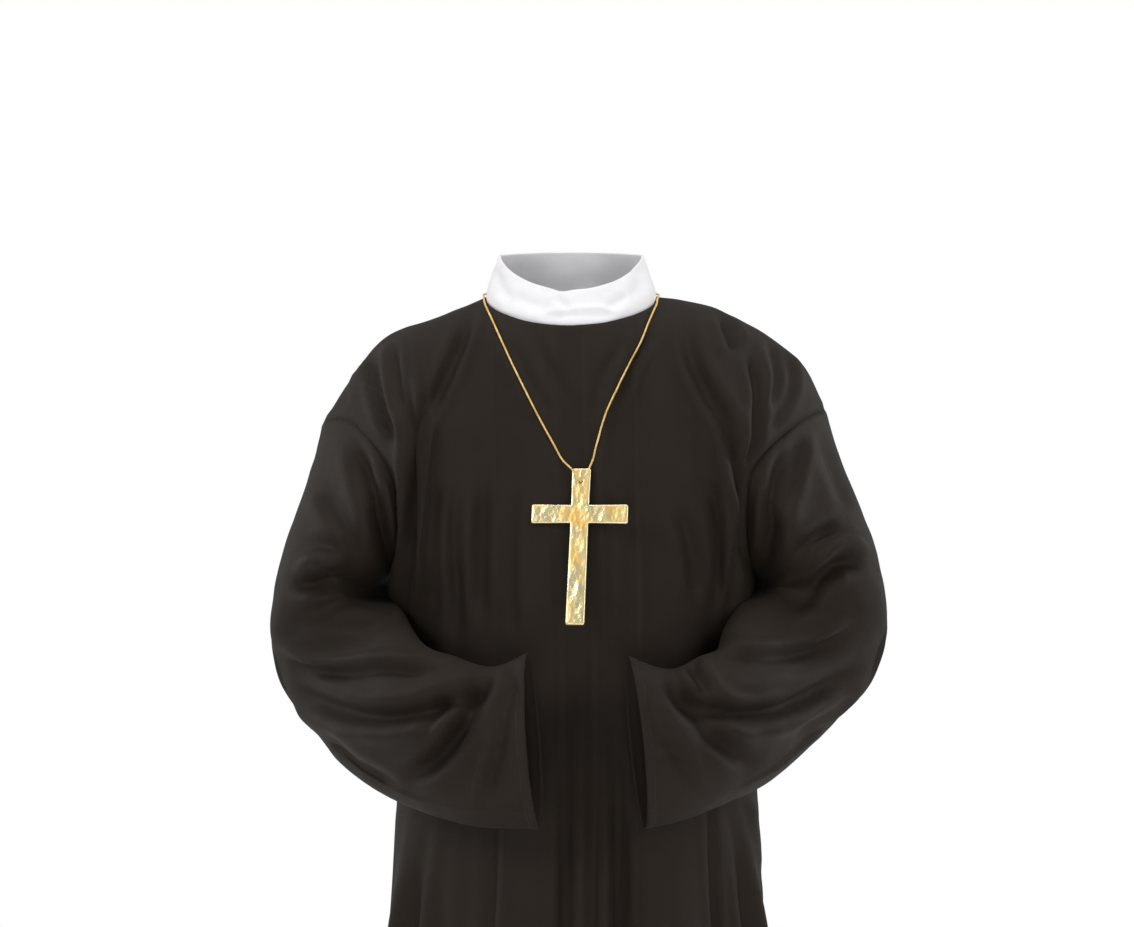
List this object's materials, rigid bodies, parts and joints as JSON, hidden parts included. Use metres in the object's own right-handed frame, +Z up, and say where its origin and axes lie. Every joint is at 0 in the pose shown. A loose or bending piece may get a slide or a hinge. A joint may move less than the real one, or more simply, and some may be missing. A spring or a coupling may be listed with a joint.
{
  "type": "priest costume",
  "caption": "Long black robe with wide sleeves bent forward at the elbow, a white stand collar and a gilt cross on a gold cord, kept in its hollow worn form.",
  "frame": {"origin": "middle of the neck opening, at the height of the shoulder seams' inner ends, where the wearer holds the robe up", "axes": "+Z up, -Y to the front, +X to the wearer's left"},
  "size_m": [0.6117, 0.4268, 1.4265],
  "materials": {
    "black_cloth": "thin black polyester with a faint sheen",
    "white_cloth": "smooth stiffened white cloth",
    "gold_foil": "crinkled gold foil over a light plate",
    "gold_cord": "twisted metallic yarn"
  },
  "bodies": {
    "root": {"robe_front": "black_cloth", "robe_back": "black_cloth", "sleeve_right": "black_cloth", "sleeve_left": "black_cloth", "collar": "white_cloth", "cross": "gold_foil", "cord": "gold_cord", "cord_knot": "gold_cord"}
  },
  "joints": []
}
